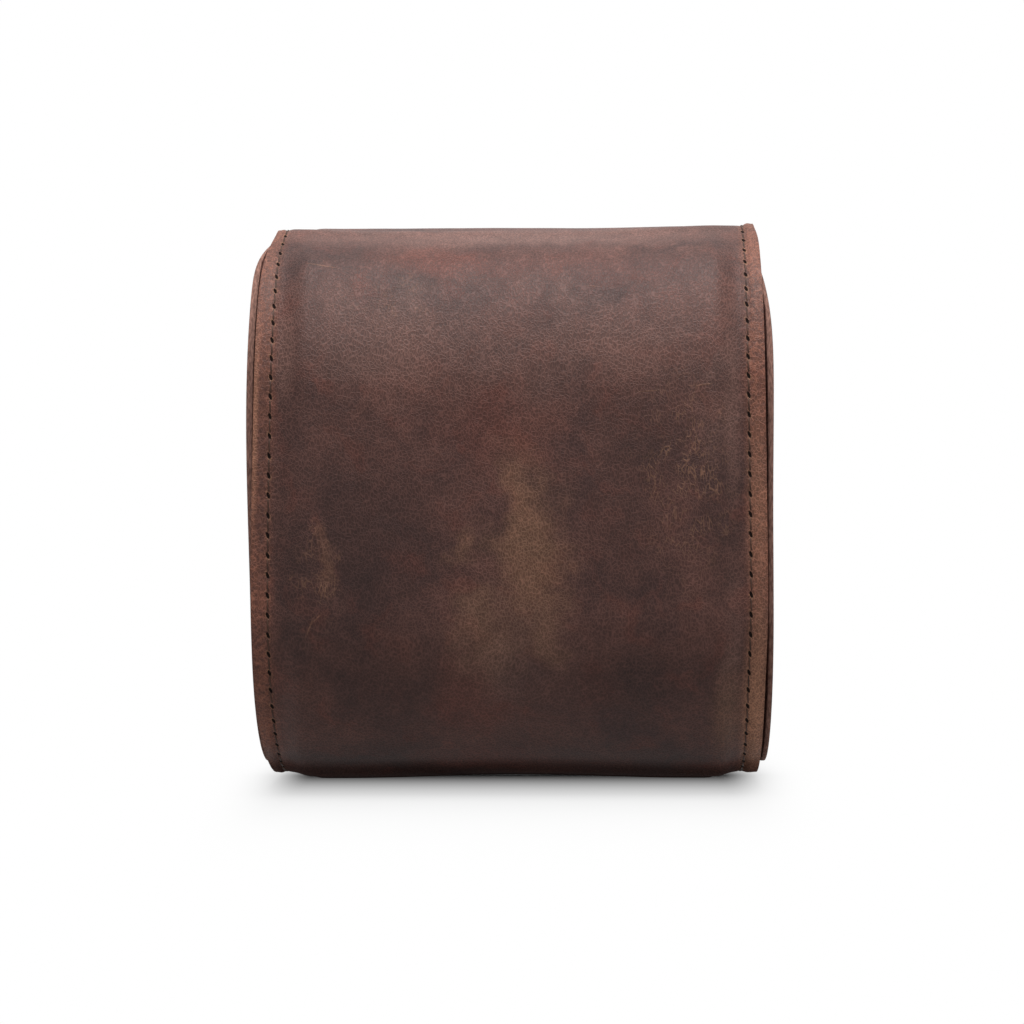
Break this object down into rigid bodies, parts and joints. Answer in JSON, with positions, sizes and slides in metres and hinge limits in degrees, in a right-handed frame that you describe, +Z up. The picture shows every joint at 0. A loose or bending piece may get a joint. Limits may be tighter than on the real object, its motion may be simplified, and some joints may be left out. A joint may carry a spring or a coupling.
{
  "type": "leather watch case",
  "caption": "Upright leather travel case for one watch: padded sewn wrap, flat end panels, top-hinged flap lid with a magnetic tab, removable pillow.",
  "frame": {"origin": "middle of the flat under the body that the case stands on", "axes": "+Z up, +X across the case along its hinge, +Y from the plain padded back to the front with the closing tab"},
  "size_m": [0.089, 0.0781, 0.0999],
  "materials": {
    "waxed_leather": "waxed pull-up leather, matt with a soft sheen on bends",
    "end_leather": "waxed pull-up leather with a raw fibrous cut edge",
    "suede_lining": "short brown suede",
    "padding_foam": "dense open foam",
    "grey_board": "smooth bookbinder's board",
    "magnet": "nickel plated",
    "pillow_suede": "short brown suede",
    "pillow_patch": "waxed leather"
  },
  "bodies": {
    "body": {"body_leather": "waxed_leather", "body_foam": "padding_foam", "body_board": "grey_board", "body_lining": "suede_lining", "lip_magnet": "magnet", "left_end_leather": "end_leather", "left_end_board": "grey_board", "left_end_lining": "suede_lining", "right_end_leather": "end_leather", "right_end_board": "grey_board", "right_end_lining": "suede_lining"},
    "lid": {"lid_leather": "waxed_leather", "lid_foam": "padding_foam", "lid_board": "grey_board", "lid_lining": "suede_lining", "tab_root": "waxed_leather"},
    "closing_tongue": {"tab_leather": "waxed_leather", "tab_lining": "suede_lining", "tab_magnet": "magnet"},
    "pillow": {"pillow_core": "padding_foam", "pillow_cover": "pillow_suede", "pillow_left_patch": "pillow_patch", "pillow_right_patch": "pillow_patch"}
  },
  "joints": [
    {"name": "lid_hinge", "type": "hinge", "parent": "body", "child": "lid", "pos_m": [0, -0.01063, 0.0986], "axis": [1, 0, 0], "range_deg": [0, 150]},
    {"name": "tongue_bend", "type": "hinge", "parent": "lid", "child": "closing_tongue", "pos_m": [0, 0.03985, 0.0484], "axis": [1, 0, 0], "range_deg": [0, 60], "stiffness_Nm_per_rad": 0.002},
    {"name": "pillow_lift", "type": "slide", "parent": "body", "child": "pillow", "axis": [0, 0.309, 0.9511], "range_m": [0, 0.075]}
  ],
  "couplings": [
    {"joint": "pillow_lift", "follows": "lid_hinge", "m_per_rad": 0.02864}
  ]
}
